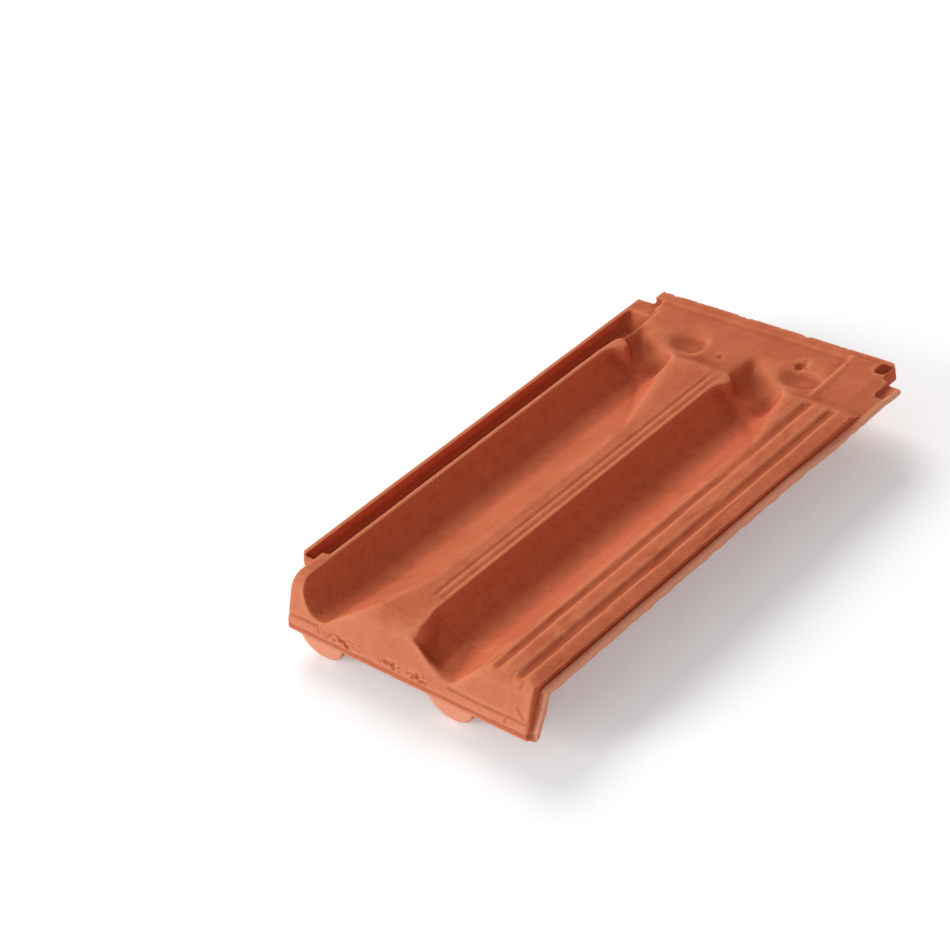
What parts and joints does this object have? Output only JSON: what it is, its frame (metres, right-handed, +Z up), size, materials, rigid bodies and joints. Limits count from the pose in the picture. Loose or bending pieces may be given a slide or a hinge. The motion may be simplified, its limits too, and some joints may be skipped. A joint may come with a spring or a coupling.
{
  "type": "clay roof tile",
  "caption": "Interlocking pressed clay roof tile with long water pans, a side groove, a covering lip, a dropped nose and batten nibs.",
  "frame": {"origin": "on the floor, under the middle of the tile's box", "axes": "+X to the covering side, +Y from the nose to the head, +Z up"},
  "size_m": [0.235, 0.398, 0.048],
  "materials": {
    "fired_clay": "matte, unglazed, fine grit"
  },
  "bodies": {
    "root": {"roof_tile": "fired_clay"}
  },
  "joints": []
}
